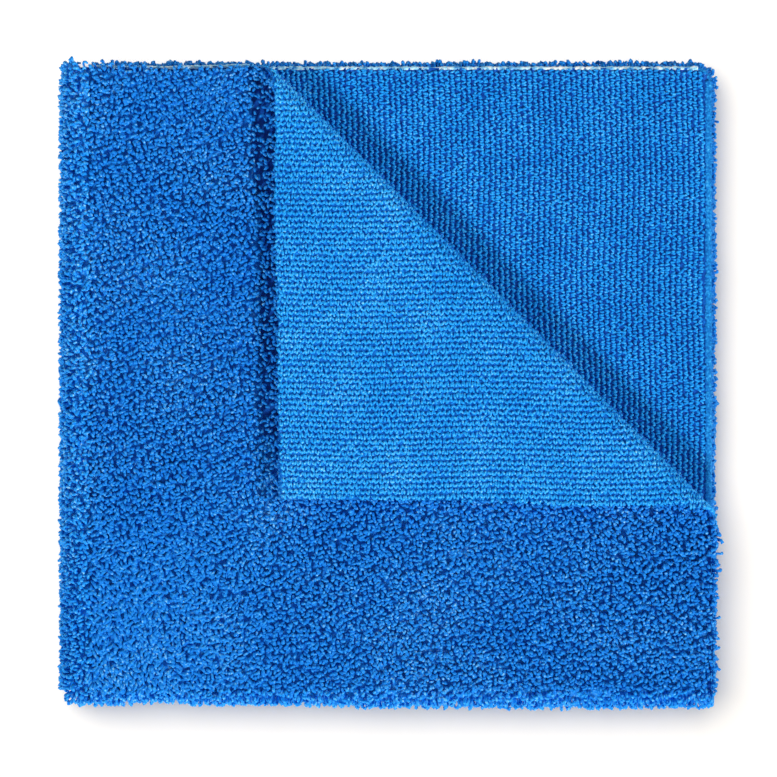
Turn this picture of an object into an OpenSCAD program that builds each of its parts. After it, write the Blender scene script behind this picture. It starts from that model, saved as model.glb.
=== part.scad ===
// Plush drying and buffing towel, folded twice into a square, one corner turned back.
// One cloth with a long pile on one face and a short ribbed pile on the other.
// Its four layers lie flat. The upper two swing open about the side fold, and the
// turned corner swings open about its crease.

/* [Folded size] */
// Width over the pile, from the side fold to the cut edges
folded_width = 206; // [196:2:216]
// Depth over the pile, from the front fold to the cut edges
folded_depth = 202; // [192:2:212]
// Distance the pile stands out past the cut edges of the knit
pile_overhang = 1.6; // [1:0.2:2.4]
// Width of the heat-sealed bead along the cut edges
edge_bead = 0.8; // [0.4:0.2:0.8]
// Radius of the cut corners of the knit
corner_radius = 5; // [3:1:8]

/* [Cloth] */
// Height of the long plush pile
long_pile = 3; // [2.4:0.2:3.6]
// Thickness of the ground knit that carries both piles
ground_knit = 0.6; // [0.4:0.1:0.8]
// Height of the short ribbed pile
short_pile = 1; // [0.6:0.2:1.4]
// Free space between layers that swing apart
layer_gap = 0.4; // [0.3:0.1:0.6]

/* [Turned corner] */
// Distance from the middle of the towel to the crease's centre line
crease_distance = 39.6; // [34:0.4:46]

/* [Hidden] */
$fn = 96;

long_blue = [0.01, 0.15, 0.52];
short_blue = [0.02, 0.21, 0.62];
knit_blue = [0.01, 0.12, 0.42];
edge_blue = [0.25, 0.55, 0.80];

// One layer, then a pair of layers lying short pile to short pile.
layer = long_pile + ground_knit + short_pile;
pair = 2 * layer;
knit_in = short_pile;
knit_out = short_pile + ground_knit;

// Heights of the pairs' middles, of the side fold's middle and of the turned corner.
lower_mid = layer;
side_mid = pair + layer_gap / 2;
upper_base = pair + layer_gap;
upper_mid = upper_base + layer;
stack_top = upper_base + pair;
flap_base = stack_top + layer_gap;
crease_mid = stack_top + layer_gap / 2;

// Plan positions of the two folds and of the cut edges of the knit.
x_fold = side_mid - folded_width / 2;
y_fold = layer - folded_depth / 2;
x_cut = folded_width / 2 - pile_overhang;
y_cut = folded_depth / 2 - pile_overhang;

// Radius at which a pair of layers turns in the side fold.
turn_radius = side_mid - layer;

// The crease runs at 45 degrees. Its cloth is half a turn at the knit's radius, so
// the corner opens about an axis a quarter turn's length beyond the centre line.
crease_knit_in = layer_gap / 2 + long_pile;
crease_knit_out = crease_knit_in + ground_knit;
crease_out = crease_knit_out + short_pile;
crease_knit = (crease_knit_in + crease_knit_out) / 2;
crease_sum = crease_distance * sqrt(2);
open_sum = (crease_distance + PI * crease_knit / 2) * sqrt(2);
helix = PI / 2;
crease_start = (crease_sum - 2 * y_cut) / sqrt(2) + PI * crease_knit / 2;
crease_end = (2 * x_cut - crease_sum) / sqrt(2) - PI * crease_knit / 2;

big = 400;

// ---- plan outlines; grow moves the cut edges outwards ----

// Full layer from both folds to both cut edges, with a rounded cut corner.
module layer_plan(grow = 0) {
  radius = corner_radius + grow;
  difference() {
    translate([x_fold, y_fold]) square([x_cut + grow - x_fold, y_cut + grow - y_fold]);
    translate([x_cut - corner_radius, y_cut - corner_radius]) square(2 * radius);
  }
  intersection() {
    translate([x_cut - corner_radius, y_cut - corner_radius]) circle(radius);
    translate([x_cut - corner_radius, y_cut - corner_radius]) square(2 * radius);
  }
}

// Top layer, which ends at the crease.
module top_plan(grow = 0) {
  x = x_cut + grow;
  y = y_cut + grow;
  polygon([[x_fold, y_fold], [x, y_fold], [x, crease_sum - x], [crease_sum - y, y], [x_fold, y]]);
}

// Turned corner: the rest of the top layer, laid back over the crease.
module flap_plan(grow = 0) {
  x = open_sum - y_cut - grow;
  y = open_sum - x_cut - grow;
  radius = corner_radius + grow;
  difference() {
    polygon([[x, y], [crease_sum - y, y], [x, crease_sum - x]]);
    translate([x - radius, y - radius]) square(2 * radius);
  }
  intersection() {
    translate([x + radius, y + radius]) circle(radius);
    translate([x, y]) square(radius);
  }
}

module slab(base, height) {
  translate([0, 0, base]) linear_extrude(height) children();
}

// ---- front fold: half rings about the pair's middle, drawn as (depth, height) ----

module half_ring(inner, outer) {
  difference() {
    circle(outer);
    if (inner > 0) circle(inner);
    translate([0, -big / 2]) square(big);
  }
}

module front_turn(middle, inner, outer, from, to) {
  translate([from, y_fold, middle]) rotate([90, 0, 90]) linear_extrude(to - from)
    half_ring(inner, outer);
}

// ---- side fold: profiles across the pair, turned about the side fold's middle ----

// Hairpin of half width w, from the front fold back to the distance "end".
module hairpin(w, end) {
  translate([-w, -end]) square([2 * w, end - y_fold]);
  intersection() {
    translate([0, -y_fold]) circle(w);
    translate([-w, -y_fold]) square([2 * w, w]);
  }
}

module hairpin_band(inner, outer, end) {
  difference() {
    hairpin(outer, end);
    hairpin(inner, end + 1);
  }
}

// A quarter turn: start 180 is the lower quarter, start 90 the upper one.
module side_turn(start) {
  difference() {
    translate([x_fold, 0, side_mid]) rotate([90, 0, 0]) rotate([0, 0, start])
      rotate_extrude(angle = 90) translate([turn_radius, 0]) children();
    translate([-big, -big, pair]) cube([2 * big, 2 * big, layer_gap]);
  }
}

// Bead profile across one layer of the pair: side 1 is outside, -1 inside.
module bead_profile(side) {
  low = side > 0 ? knit_in : -knit_out;
  translate([low, -y_cut - edge_bead]) square([ground_knit, edge_bead]);
}

// ---- crease: rings about its centre line, drawn as (across, height) ----

module crease_frame() {
  translate([crease_sum / 2, crease_sum / 2, crease_mid]) rotate([0, 0, -45]) children();
}

// Space between the crease's two cut ends, which climb round it at 45 degrees.
module crease_span(grow = 0) {
  first = crease_start - grow * sqrt(2);
  last = crease_end + grow * sqrt(2);
  h = crease_out;
  translate([0, crease_out, 0]) rotate([90, 0, 0]) linear_extrude(crease_out)
    polygon([[first - h * helix, -h], [last + h * helix, -h],
             [last - h * helix, h], [first + h * helix, h]]);
}

// Quarter ring along the crease: side -1 is the foot, 1 the head.
module crease_ring(inner, outer, side) {
  low = side > 0 ? layer_gap / 2 : -crease_out;
  translate([-big / 2, 0, 0]) rotate([90, 0, 90]) linear_extrude(big)
    intersection() {
      difference() {
        circle(outer);
        if (inner > 0) circle(inner);
      }
      translate([0, low]) square([crease_out, crease_out - layer_gap / 2]);
    }
}

// Part of the crease, kept inside the folded towel's outline.
module crease_part(inner, outer, side, grow = 0) {
  intersection() {
    crease_frame() intersection() {
      crease_ring(inner, outer, side);
      crease_span(grow);
    }
    translate([-folded_width / 2, -folded_depth / 2, 0])
      cube([folded_width, folded_depth, flap_base + layer]);
  }
}

// ---- lower half: base layer and third layer ----

module base_ground_knit() color(knit_blue)
  slab(lower_mid - knit_out, ground_knit) layer_plan();

module base_long_pile() color(long_blue)
  slab(0, long_pile) layer_plan(pile_overhang);

module base_short_pile() color(short_blue)
  slab(lower_mid - knit_in, short_pile) layer_plan(pile_overhang);

module third_ground_knit() color(knit_blue)
  slab(lower_mid + knit_in, ground_knit) layer_plan();

module third_long_pile() color(long_blue)
  slab(lower_mid + knit_out, long_pile) layer_plan(pile_overhang);

module third_short_pile() color(short_blue)
  slab(lower_mid, short_pile) layer_plan(pile_overhang);

module lower_front_fold_knit() color(knit_blue)
  front_turn(lower_mid, knit_in, knit_out, x_fold, x_cut);

module lower_front_fold_long_pile() color(long_blue)
  front_turn(lower_mid, knit_out, layer, x_fold, x_cut + pile_overhang);

module lower_front_fold_short_pile() color(short_blue)
  front_turn(lower_mid, 0, knit_in, x_fold, x_cut + pile_overhang);

module lower_side_fold_knit() color(knit_blue)
  side_turn(180) hairpin_band(knit_in, knit_out, y_cut);

module lower_side_fold_long_pile() color(long_blue)
  side_turn(180) hairpin_band(knit_out, layer, y_cut + pile_overhang);

module lower_side_fold_short_pile() color(short_blue)
  side_turn(180) hairpin(knit_in, y_cut + pile_overhang);

module lower_sealed_edge() color(edge_blue) {
  for (base = [lower_mid - knit_out, lower_mid + knit_in])
    slab(base, ground_knit) difference() {
      layer_plan(edge_bead);
      layer_plan();
    }
  front_turn(lower_mid, knit_in, knit_out, x_cut, x_cut + edge_bead);
  for (side = [-1, 1]) side_turn(180) bead_profile(side);
}

// ---- upper half: second layer and top layer ----

module second_ground_knit() color(knit_blue)
  slab(upper_mid - knit_out, ground_knit) layer_plan();

module second_long_pile() color(long_blue)
  slab(upper_base, long_pile) layer_plan(pile_overhang);

module second_short_pile() color(short_blue)
  slab(upper_mid - knit_in, short_pile) layer_plan(pile_overhang);

module top_ground_knit() color(knit_blue)
  slab(upper_mid + knit_in, ground_knit) top_plan();

module top_long_pile() color(long_blue)
  slab(upper_mid + knit_out, long_pile) top_plan(pile_overhang);

module top_short_pile() color(short_blue)
  slab(upper_mid, short_pile) top_plan(pile_overhang);

module upper_front_fold_knit() color(knit_blue)
  front_turn(upper_mid, knit_in, knit_out, x_fold, x_cut);

module upper_front_fold_long_pile() color(long_blue)
  front_turn(upper_mid, knit_out, layer, x_fold, x_cut + pile_overhang);

module upper_front_fold_short_pile() color(short_blue)
  front_turn(upper_mid, 0, knit_in, x_fold, x_cut + pile_overhang);

module upper_side_fold_knit() color(knit_blue)
  side_turn(90) hairpin_band(knit_in, knit_out, y_cut);

module upper_side_fold_long_pile() color(long_blue)
  side_turn(90) hairpin_band(knit_out, layer, y_cut + pile_overhang);

module upper_side_fold_short_pile() color(short_blue)
  side_turn(90) hairpin(knit_in, y_cut + pile_overhang);

module crease_foot_knit() color(knit_blue)
  crease_part(crease_knit_in, crease_knit_out, -1);

module crease_foot_long_pile() color(long_blue)
  crease_part(0, crease_knit_in, -1, pile_overhang);

module crease_foot_short_pile() color(short_blue)
  crease_part(crease_knit_out, crease_out, -1, pile_overhang);

// Side run: down the top layer's side, round the front fold and back along the second layer.
module upper_side_sealed_edge() color(edge_blue) {
  slab(upper_mid - knit_out, ground_knit) difference() {
    layer_plan(edge_bead);
    layer_plan();
  }
  slab(upper_mid + knit_in, ground_knit) intersection() {
    difference() {
      top_plan(edge_bead);
      top_plan();
    }
    translate([x_cut, -big]) square(2 * big);
  }
  front_turn(upper_mid, knit_in, knit_out, x_cut, x_cut + edge_bead);
  side_turn(90) bead_profile(-1);
}

// Back run: along the top layer's back edge and down round the side fold.
module upper_back_sealed_edge() color(edge_blue) {
  slab(upper_mid + knit_in, ground_knit) intersection() {
    difference() {
      top_plan(edge_bead);
      top_plan();
    }
    translate([-big, y_cut]) square(2 * big);
  }
  side_turn(90) bead_profile(1);
}

// ---- turned corner ----

module flap_ground_knit() color(knit_blue)
  slab(flap_base + long_pile, ground_knit) flap_plan();

module flap_long_pile() color(long_blue)
  slab(flap_base, long_pile) flap_plan(pile_overhang);

module flap_short_pile() color(short_blue)
  slab(flap_base + long_pile + ground_knit, short_pile) flap_plan(pile_overhang);

module crease_head_knit() color(knit_blue)
  crease_part(crease_knit_in, crease_knit_out, 1);

module crease_head_long_pile() color(long_blue)
  crease_part(0, crease_knit_in, 1, pile_overhang);

module crease_head_short_pile() color(short_blue)
  crease_part(crease_knit_out, crease_out, 1, pile_overhang);

module flap_sealed_edge() color(edge_blue)
  slab(flap_base + long_pile, ground_knit) difference() {
    flap_plan(edge_bead);
    flap_plan();
  }

base_ground_knit();
base_long_pile();
base_short_pile();
third_ground_knit();
third_long_pile();
third_short_pile();
lower_front_fold_knit();
lower_front_fold_long_pile();
lower_front_fold_short_pile();
lower_side_fold_knit();
lower_side_fold_long_pile();
lower_side_fold_short_pile();
lower_sealed_edge();
second_ground_knit();
second_long_pile();
second_short_pile();
top_ground_knit();
top_long_pile();
top_short_pile();
upper_front_fold_knit();
upper_front_fold_long_pile();
upper_front_fold_short_pile();
upper_side_fold_knit();
upper_side_fold_long_pile();
upper_side_fold_short_pile();
crease_foot_knit();
crease_foot_long_pile();
crease_foot_short_pile();
upper_side_sealed_edge();
upper_back_sealed_edge();
flap_ground_knit();
flap_long_pile();
flap_short_pile();
crease_head_knit();
crease_head_long_pile();
crease_head_short_pile();
flap_sealed_edge();
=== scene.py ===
"""Plush towel folded in four with one corner turned back: cloth, pile, sealed edges and studio.

The cloth's shape is a few maps: flat, front, side and crease. Each gives points on the middle of the
ground knit, a normal of one of its faces, and two tangents. Cloth sheets, pile, ribs and sealed edges
are all laid on these maps. Lengths are in millimetres, and MM turns them into metres for Blender.
"""
import math

import bpy
import numpy as np
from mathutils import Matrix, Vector


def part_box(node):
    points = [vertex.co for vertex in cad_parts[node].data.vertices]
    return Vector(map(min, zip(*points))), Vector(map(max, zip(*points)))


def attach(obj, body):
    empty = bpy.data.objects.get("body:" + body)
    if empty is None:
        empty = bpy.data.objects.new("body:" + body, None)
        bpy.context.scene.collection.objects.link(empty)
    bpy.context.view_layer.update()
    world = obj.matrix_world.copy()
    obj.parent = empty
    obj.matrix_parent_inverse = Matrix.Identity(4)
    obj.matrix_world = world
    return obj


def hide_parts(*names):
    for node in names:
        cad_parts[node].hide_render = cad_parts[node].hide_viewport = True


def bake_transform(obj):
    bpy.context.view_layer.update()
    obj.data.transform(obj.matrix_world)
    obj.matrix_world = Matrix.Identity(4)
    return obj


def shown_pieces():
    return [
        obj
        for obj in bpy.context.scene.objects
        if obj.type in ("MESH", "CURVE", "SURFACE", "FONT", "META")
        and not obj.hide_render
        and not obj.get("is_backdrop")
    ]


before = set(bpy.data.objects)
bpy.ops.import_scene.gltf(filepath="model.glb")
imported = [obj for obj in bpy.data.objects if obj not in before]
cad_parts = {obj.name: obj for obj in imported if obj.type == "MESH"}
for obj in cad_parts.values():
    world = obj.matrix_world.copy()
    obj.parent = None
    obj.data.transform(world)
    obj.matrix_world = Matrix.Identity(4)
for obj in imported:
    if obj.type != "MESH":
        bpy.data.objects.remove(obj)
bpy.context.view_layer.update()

MM = 0.001
SQ2 = math.sqrt(2)

# ---------------------------------------------------------------- sizes


def box_mm(node):
    low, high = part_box(node)
    return np.array(low) / MM, np.array(high) / MM


base_lo, base_hi = box_mm("base_ground_knit")
flap_lo, flap_hi = box_mm("flap_ground_knit")
X_FOLD, Y_FOLD = float(base_lo[0]), float(base_lo[1])
X_CUT, Y_CUT = float(base_hi[0]), float(base_hi[1])
Z_BASE, Z_THIRD, Z_SECOND, Z_TOP, Z_FLAP = (
    float(sum(corner[2] for corner in box_mm(layer + "_ground_knit"))) / 2
    for layer in ("base", "third", "second", "top", "flap")
)
KNIT = float(base_hi[2] - base_lo[2])
HALF = KNIT / 2
LOWER_MID, UPPER_MID = (Z_BASE + Z_THIRD) / 2, (Z_SECOND + Z_TOP) / 2
HAIRPIN = (Z_THIRD - Z_BASE) / 2  # radius of the front fold
SIDE_MID = (LOWER_MID + UPPER_MID) / 2
TURN = SIDE_MID - LOWER_MID  # radius of the side fold, at the middle of a pair
CREASE_MID = (Z_TOP + Z_FLAP) / 2
CREASE_R = (Z_FLAP - Z_TOP) / 2
# The crease's foot lies where x + y is CREASE_SUM, at CREASE_C from the origin.
CREASE_C = float(flap_lo[0] + flap_hi[1]) / SQ2
CREASE_SUM = CREASE_C * SQ2
# A flat point (x, y) beyond the crease lies at (OPEN_SUM - y, OPEN_SUM - x) once it is turned back.
OPEN_SUM = (CREASE_C + math.pi * CREASE_R / 2) * SQ2
FLAP_X, FLAP_Y = OPEN_SUM - Y_CUT, OPEN_SUM - X_CUT

CORNER = 5.0  # radius of the cloth's corners
LONG = 3.0  # height of the long pile
PLUSH_TALL = LONG - 0.25  # height of a tuft's path above the knit
PLUSH_R = 0.47
PILE_STOP = 0.85  # angle up the crease's inside where the top layer's pile ends
FLAP_FROM = -60  # the corner that is turned back lies beyond this x and y on the flat layer
WALE, COURSE = 1.74, 1.27  # from rib to rib, and along a rib
LOOP = 0.84  # from loop to loop along the ribs that show


def ramp(v, points):
    xs, ys = zip(*points)
    return np.interp(v, xs, ys)


def smooth(v, a, b):
    t = np.clip((v - a) / (b - a), 0, 1)
    return t * t * (3 - 2 * t)


def near(gap, reach):
    """From 1 at a gap of nothing to 0 at a gap of reach."""
    return np.clip(1 - gap / reach, 0, 1)


def spaced(a, b, step):
    return np.linspace(a, b, max(2, int(math.ceil(abs(b - a) / step)) + 1))


def top_y(x):
    """Back cut edge of the top layer; the corner was knitted a little short."""
    return Y_CUT + ramp(x, [(X_FOLD, 0.0), (-43, 0.3), (20, -0.6), (101, -2.2)]) + 0.25 * np.sin(x * 0.11)


def top_x(y):
    """Side cut edge of the top layer."""
    wave = 0.3 * np.sin(y * 0.13 + 1.0)
    return X_CUT + ramp(y, [(Y_FOLD, 0.6), (-45, 1.2), (20, -0.5), (99, -2.4)]) + wave


def cut_depth(x):
    """Back edge of a full layer, with its rounded corner."""
    over = np.clip(x - (X_CUT - CORNER), 0, CORNER)
    return Y_CUT - CORNER + np.sqrt(np.maximum(CORNER * CORNER - over * over, 0))


def crease_depth(x):
    """Back end of the top layer: its cut edge, or the crease's foot."""
    return np.minimum(top_y(x), CREASE_SUM - x)


def crease_ends(alpha):
    """First and last distance along the crease of the cloth at alpha."""
    c = CREASE_C + CREASE_R * alpha
    return c - SQ2 * (Y_CUT + 0.3), SQ2 * (X_CUT + 1.2) - c


# ---------------------------------------------------------------- the cloth's maps


def pack(x, y, z, n, a, b):
    p = np.stack(np.broadcast_arrays(x, y, z), -1).astype(float)
    return p, *(np.broadcast_to(np.asarray(v, float), p.shape).copy() for v in (n, a, b))


def flat(x, y, z, up=1.0):
    return pack(x, y, z, (0, 0, up), (1, 0, 0), (0, 1, 0))


def front(x, psi, mid):
    """Front fold, which isn't quite straight; psi runs from 0 on top to pi underneath."""
    s, c = np.sin(psi), np.cos(psi)
    zero = np.zeros_like(s)
    sway = ramp(x, [(X_FOLD, 0.0), (-78, -1.3), (-50, -0.5), (0, 0.4), (60, 0.6), (101, 0.2)])
    n = np.stack([zero, -s, c], -1)
    return pack(x, Y_FOLD - (HAIRPIN + sway) * s, mid + HAIRPIN * c, n, (1, 0, 0), np.stack([zero, c, s], -1))


def side(phi, y, u, ny=0.0, nu=1.0):
    """Side fold: phi runs from 0 underneath to pi on top; u is the distance from the pair's middle."""
    s, c = np.sin(phi), np.cos(phi)
    zero = np.zeros_like(s)
    r = TURN + u
    n = np.stack(np.broadcast_arrays(-nu * s, ny, -nu * c), -1)
    return pack(X_FOLD - r * s, y, SIDE_MID - r * c, n, np.stack([-c, zero, s], -1), (0, 1, 0))


def crease(s, alpha):
    """Crease: alpha runs from 0 at the foot to pi on the turned corner. Normals point to the outside."""
    sa, ca = np.sin(alpha), np.cos(alpha)
    c = CREASE_C + CREASE_R * sa
    n = np.stack([sa / SQ2, sa / SQ2, -ca], -1)
    across = np.stack([ca / SQ2, ca / SQ2, sa], -1)
    return pack((c + s) / SQ2, (c - s) / SQ2, CREASE_MID - CREASE_R * ca, n, (1 / SQ2, -1 / SQ2, 0), across)


def on_crease_line(d, s, z, up):
    """Points along the crease, d out from a line 0.6 inside the turn's outermost one."""
    c = CREASE_C + CREASE_R - 0.6 + d
    return pack((c + s) / SQ2, (c - s) / SQ2, z, (0, 0, up), (1, 0, 0), (0, 1, 0))


def fringe(x, y, z, outward, down):
    """Points whose normals stick out past a cut edge."""
    n = np.array([outward[0], outward[1], down], float)
    n /= np.linalg.norm(n)
    return pack(x, y, z, n, (-outward[1], outward[0], 0.0), (0, 0, 1))


def curled(x, y):
    """Flat points of the top layer, taken up the crease's inside where they lie past its foot.

    Also gives the points' new order."""
    c, s = (x + y) / SQ2, (x - y) / SQ2
    on = c > CREASE_C
    ground = flat(x[~on], y[~on], Z_TOP)
    bend = inward(crease(s[on], np.clip((c[on] - CREASE_C) / CREASE_R, 0, PILE_STOP)))
    return merge(ground, bend), np.concatenate([np.flatnonzero(~on), np.flatnonzero(on)])


def inward(base):
    """The same points with their normals turned over."""
    return base[0], -base[1], base[2], base[3]


def on_knit(base):
    """The same points on the knit's face instead of its middle."""
    return base[0] + base[1] * HALF, *base[1:]


def merge(*bases):
    return tuple(np.concatenate([b[i] for b in bases]) for i in range(4))


def line(xs, ys, z):
    """A path at one height; xs or ys may be one number."""
    return np.stack(np.broadcast_arrays(xs, ys, float(z)), -1).astype(float)


def splay(base, weight, outward):
    """Leans the normals outwards at a cut edge."""
    p, n, ta, tb = base
    n = n + weight[:, None] * np.asarray(outward, float)
    return p, n / np.linalg.norm(n, axis=1, keepdims=True), ta, tb


def half_turns(count):
    """Angles from 0 to pi with none near the middle, where the fold's two bodies meet."""
    low = np.linspace(0, math.radians(78), count)
    return np.concatenate([low, math.pi - low[::-1]])


# ---------------------------------------------------------------- meshes


def make(name, mesh, material, body, nodes=()):
    """A piece from verts, quads and tris, on its body if it is given one."""
    verts, quads, tris = mesh
    verts = np.asarray(verts, float).reshape(-1, 3) * MM
    quads = np.asarray(quads, np.int32).reshape(-1, 4)
    tris = np.asarray(tris, np.int32).reshape(-1, 3)
    me = bpy.data.meshes.new(name)
    me.vertices.add(len(verts))
    me.vertices.foreach_set("co", verts.astype(np.float32).ravel())
    loops = np.concatenate([quads.ravel(), tris.ravel()])
    me.loops.add(len(loops))
    me.loops.foreach_set("vertex_index", loops)
    me.polygons.add(len(quads) + len(tris))
    starts = np.concatenate([np.arange(len(quads)) * 4, len(quads) * 4 + np.arange(len(tris)) * 3])
    me.polygons.foreach_set("loop_start", starts.astype(np.int32))
    me.update(calc_edges=True)
    me.polygons.foreach_set("use_smooth", np.ones(len(me.polygons), bool))
    me.materials.append(material)
    ob = bpy.data.objects.new(name, me)
    bpy.context.scene.collection.objects.link(ob)
    if body:
        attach(ob, body)
    if nodes:
        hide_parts(*nodes)
    return ob


def join(parts):
    """Several meshes as one."""
    vs, qs, ts, n = [], [], [], 0
    for v, q, t in parts:
        vs.append(v)
        qs.append(np.asarray(q).reshape(-1, 4) + n)
        ts.append(np.asarray(t).reshape(-1, 3) + n)
        n += len(v)
    return np.concatenate(vs), np.concatenate(qs), np.concatenate(ts)


def grid_quads(nu, nv, offset=0, flip=False):
    i, j = np.meshgrid(np.arange(nu - 1), np.arange(nv - 1), indexing="ij")
    a = (i * nv + j).ravel() + offset
    q = np.stack([a, a + nv, a + nv + 1, a + 1], -1)
    return q[:, ::-1] if flip else q


def closed_sheet(p, n, half):
    """A cloth of thickness 2 * half about the grid p with normals n."""
    nu, nv = p.shape[:2]
    verts = np.concatenate([(p + n * half).reshape(-1, 3), (p - n * half).reshape(-1, 3)])
    m = nu * nv
    idx = np.arange(m).reshape(nu, nv)
    rim = np.concatenate([idx[:, 0], idx[-1, 1:], idx[-2::-1, -1], idx[0, -2::-1]])
    a, b = rim[:-1], rim[1:]
    quads = [grid_quads(nu, nv), grid_quads(nu, nv, m, True), np.stack([a, b, b + m, a + m], -1)]
    return verts, np.concatenate(quads), np.zeros((0, 3), int)


def tube_faces(rings, sides, end):
    """Quads round a tube, and tris to its two end points, which are numbered end and end + 1."""
    i, j = np.meshgrid(np.arange(rings - 1), np.arange(sides), indexing="ij")
    a, a2 = (i * sides + j).ravel(), (i * sides + (j + 1) % sides).ravel()
    quads = np.stack([a, a2, a2 + sides, a + sides], -1)
    j = np.arange(sides)
    top = (rings - 1) * sides
    low = np.stack([(j + 1) % sides, j, np.full(sides, end)], -1)
    high = np.stack([top + j, top + (j + 1) % sides, np.full(sides, end + 1)], -1)
    return quads, np.concatenate([low, high])


# Shapes of one yarn along its length: height, reach forwards, reach sideways and thickness.
SHAPES = {
    "plush": (
        [0.0, 0.60, 0.93, 1.0, 0.80],
        [0.0, 0.08, 0.40, 0.88, 1.28],
        [0.0, 0.02, 0.10, 0.34, 0.72],
        [0.75, 0.92, 1.05, 1.08, 0.78],
    ),
    "plain": (
        [0.0, 0.70, 1.0, 0.84],
        [0.0, 0.18, 0.75, 1.25],
        [0.0, 0.05, 0.28, 0.70],
        [0.8, 1.0, 1.08, 0.78],
    ),
    "stitch": (
        [-0.1, 0.72, 1.0, 0.72, -0.1],
        [-1.0, -0.66, 0.0, 0.66, 1.0],
        [-0.2, 0.12, 0.3, 0.12, -0.2],
        [0.72, 0.95, 1.05, 0.95, 0.72],
    ),
    "lump": (
        [0.0, 1.0, 1.0, 0.0],
        [-1.0, -0.5, 0.5, 1.0],
        [0.0, 0.1, 0.1, 0.0],
        [0.75, 1.0, 1.0, 0.75],
    ),
}


def tufts(base, rng, height, reach, radius, azimuth=0.0, spread=math.pi, curl=0.8, shape="plush",
          grow=1.0, ply=0.16, split=None):
    """One bent, rounded yarn end for each base point.

    With split, a height, no yarn crosses it, so that each one stays whole where a fold opens there."""
    p, n, ta, tb = base
    m, sides = len(p), 5
    az = rng.uniform(-1, 1, m) * spread + azimuth
    d = np.cos(az)[:, None] * ta + np.sin(az)[:, None] * tb
    d -= (d * n).sum(1, keepdims=True) * n
    d /= np.linalg.norm(d, axis=1, keepdims=True)
    e = np.cross(n, d)
    h = height * grow * rng.uniform(0.80, 1.10, m)
    r = reach * rng.uniform(0.6, 1.3, m)
    w = radius * rng.uniform(0.84, 1.14, m)
    k = curl * rng.choice([-1.0, 1.0], m) * rng.uniform(0.2, 1.0, m)
    rise, fwd, sway, fat = (np.array(t) for t in SHAPES[shape])
    rings = len(rise)
    path = (
        p[:, None]
        + n[:, None] * (h[:, None] * rise)[..., None]
        + d[:, None] * (r[:, None] * fwd)[..., None]
        + e[:, None] * ((r * k)[:, None] * sway)[..., None]
    )
    t = np.gradient(path, axis=1)
    t /= np.linalg.norm(t, axis=2, keepdims=True)
    b = e[:, None] - (e[:, None] * t).sum(2, keepdims=True) * t
    b /= np.linalg.norm(b, axis=2, keepdims=True)
    c = np.cross(b, t)
    turn = np.arange(sides) * 2 * math.pi / sides
    twist = rng.uniform(0, 2 * math.pi, m)[:, None] + np.arange(rings) * 1.1
    lobes = 1 + ply * np.cos(2 * turn[None, None] + twist[..., None])
    size = (w[:, None] * fat)[..., None] * lobes
    ring = path[:, :, None] + size[..., None] * (
        np.cos(turn)[None, None, :, None] * b[:, :, None] + np.sin(turn)[None, None, :, None] * c[:, :, None]
    )
    root = path[:, :1] - t[:, :1] * 0.05
    tip = path[:, -1:] + t[:, -1:] * (w * 0.55)[:, None, None]
    verts = np.concatenate([ring.reshape(m, -1, 3), root, tip], 1)
    if split is not None:
        z = verts[..., 2]
        drop, rise_by = np.minimum(0, split - 0.1 - z.max(1)), np.maximum(0, split + 0.1 - z.min(1))
        verts[..., 2] += np.where(z.mean(1) < split, drop, rise_by)[:, None]
    per = rings * sides + 2
    quads, tris = tube_faces(rings, sides, per - 2)
    shift = (np.arange(m) * per)[:, None, None]
    return verts.reshape(-1, 3), (quads[None] + shift).reshape(-1, 4), (tris[None] + shift).reshape(-1, 3)


def lattice(rng, x0, x1, y0, y1, dx, dy, jitter=0.28):
    """Points about dx and dy apart, moved at random by a share of that."""
    nx, ny = max(1, round((x1 - x0) / dx)), max(1, round((y1 - y0) / dy))
    dx, dy = (x1 - x0) / nx, (y1 - y0) / ny
    gx, gy = np.meshgrid(np.arange(nx) + 0.5, np.arange(ny) + 0.5, indexing="ij")
    gx = gx + rng.normal(0, jitter, gx.shape)
    gy = gy + rng.normal(0, jitter, gy.shape)
    return (x0 + gx * dx).ravel(), (y0 + gy * dy).ravel()


def swirl(x, y, seed, scale=22.0):
    """A smooth wandering value over the cloth, for the lay and height of the pile."""
    rng = np.random.default_rng(seed)
    a = np.zeros_like(x, float)
    for _ in range(6):
        k = rng.normal(0, 1 / scale, 2)
        a += np.sin(k[0] * x + k[1] * y + rng.uniform(0, 6.28)) * rng.uniform(0.4, 1.0)
    return a


def understory(rng, p, n, amount=1.0):
    """The dense short ends between the tufts, as one lumpy slab on the knit over the grid p."""
    v, q, t = closed_sheet(p, n, 0.05)
    m = p.shape[0] * p.shape[1]
    bump = rng.uniform(0.3, 1.7, p.shape[:2]) * amount - 0.5 * (1 - amount)
    bump[0], bump[-1], bump[:, 0], bump[:, -1] = 0.15, 0.15, 0.15, 0.15
    v[:m] += (n * (HALF + bump)[..., None]).reshape(-1, 3)
    v[m:] += (n * 0.1).reshape(-1, 3)
    return v, q, t


UNDER_STEP = 1.1  # from lump to lump of the understory


def under_flat(rng, columns, y0, depth, z, up, dent=None):
    """Understory of a flat layer from y0 to depth(x), lower where dent(x, y) is higher."""
    rows = int((Y_CUT - Y_FOLD) / UNDER_STEP)
    p = np.array([line(c, np.linspace(y0, max(float(depth(c)), y0 + 0.5), rows), z) for c in columns])
    p[1:-1, 1:-1, :2] += rng.uniform(-0.3, 0.3, (len(columns) - 2, rows - 2, 2))
    n = np.broadcast_to([0.0, 0.0, float(up)], p.shape)
    return understory(rng, p, n, 1.0 if dent is None else 1 - dent(p[..., 0], p[..., 1]))


# ---------------------------------------------------------------- materials


def noise_node(nt, coord, scale, detail, rough=0.5):
    n = nt.nodes.new("ShaderNodeTexNoise")
    n.inputs["Scale"].default_value = scale
    n.inputs["Detail"].default_value = detail
    n.inputs["Roughness"].default_value = rough
    nt.links.new(coord.outputs["Object"], n.inputs["Vector"])
    return n


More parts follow.
